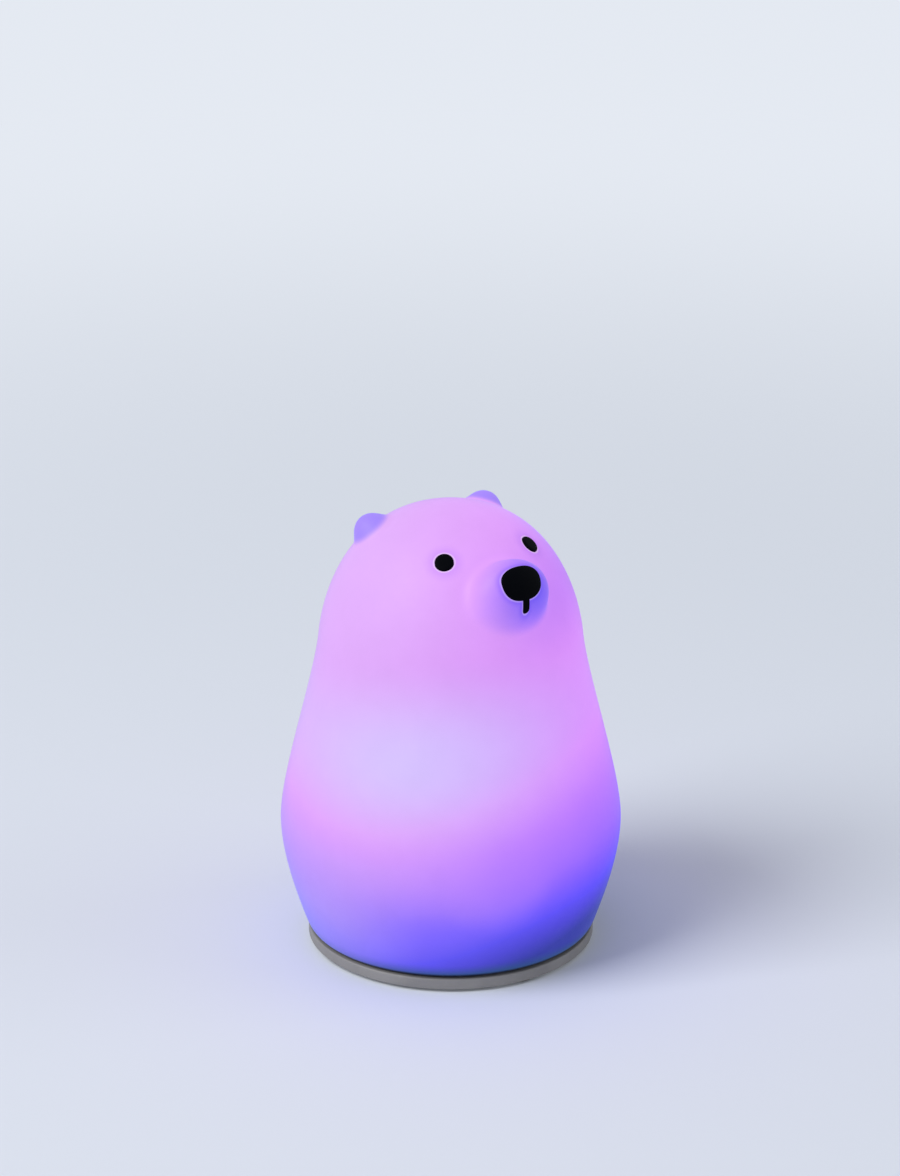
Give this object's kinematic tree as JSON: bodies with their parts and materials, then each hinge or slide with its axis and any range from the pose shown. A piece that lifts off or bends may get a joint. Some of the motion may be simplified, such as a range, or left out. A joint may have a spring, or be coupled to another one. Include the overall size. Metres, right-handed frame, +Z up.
{
  "type": "bear-shaped night light",
  "caption": "Bear-shaped soft silicone night light on a thin round base, with a hollow glowing shade, small ears, a short muzzle, and a switch and a push button underneath.",
  "frame": {"origin": "on the ground under the centre of the round base", "axes": "+Z up along the body's axis; -Y is the way the bear's nose points; +X is the bear's left"},
  "size_m": [0.1052, 0.1052, 0.1408],
  "materials": {
    "silicone": "soft matte translucent silicone, glowing lilac",
    "face_rubber": "smooth satin black",
    "base_plastic": "fine matte grey-beige",
    "inner_plastic": "plain moulded white",
    "opal_plastic": "opal diffuser",
    "green_board": "green solder mask",
    "white_board": "white solder mask",
    "led_resin": "clear resin over phosphor",
    "steel": "nickel-plated steel",
    "black_plastic": "moulded black",
    "grey_knob": "fine matte grey",
    "cell_sleeve": "shrink sleeve",
    "foam": "open-cell foam",
    "foot_rubber": "matte grey rubber",
    "red_lead": "satin insulation",
    "black_lead": "satin insulation",
    "connector_plastic": "moulded ivory",
    "copper": "wound copper and ferrite",
    "clear_plastic": "clear polished"
  },
  "bodies": {
    "base": {"silicone_shade": "silicone", "eye_left": "face_rubber", "eye_right": "face_rubber", "nose": "face_rubber", "base_cover": "base_plastic", "base_housing": "inner_plastic", "cover_screw_1": "steel", "cover_screw_2": "steel", "cover_screw_3": "steel", "cover_screw_4": "steel", "led_board_screw_1": "steel", "led_board_screw_2": "steel", "led_board_screw_3": "steel", "control_board_screw_1": "steel", "control_board_screw_2": "steel", "foot_1": "foot_rubber", "foot_2": "foot_rubber", "foot_3": "foot_rubber", "foot_4": "foot_rubber", "battery_cell": "cell_sleeve", "battery_pad": "foam", "battery_tab_left": "steel", "battery_tab_right": "steel", "control_board": "green_board", "charging_socket": "steel", "charging_socket_tongue": "black_plastic", "charge_light": "led_resin", "charge_light_pipe": "clear_plastic", "power_switch_body": "steel", "mode_switch_body": "black_plastic", "driver_chip": "black_plastic", "charger_chip": "black_plastic", "storage_coil": "copper", "tap_sensor": "steel", "battery_socket": "connector_plastic", "battery_plug": "connector_plastic", "battery_lead_black": "black_lead", "battery_lead_red": "red_lead", "led_lead_socket": "connector_plastic", "led_lead": "black_lead", "led_header": "connector_plastic", "led_board": "white_board", "led_1": "led_resin", "led_2": "led_resin", "led_3": "led_resin", "led_4": "led_resin", "led_5": "led_resin", "led_6": "led_resin", "lamp_diffuser": "opal_plastic"},
    "power_slide": {"power_slide_knob": "grey_knob", "power_switch_lever": "black_plastic"},
    "mode_button": {"mode_button": "grey_knob", "mode_switch_plunger": "grey_knob"}
  },
  "joints": [
    {"name": "power_slide", "type": "slide", "parent": "base", "child": "power_slide", "axis": [-1, 0, 0], "range_m": [0, 0.002]},
    {"name": "mode_button_press", "type": "slide", "parent": "base", "child": "mode_button", "axis": [0, 0, 1], "range_m": [0, 0.0005], "stiffness_N_per_m": 400}
  ]
}
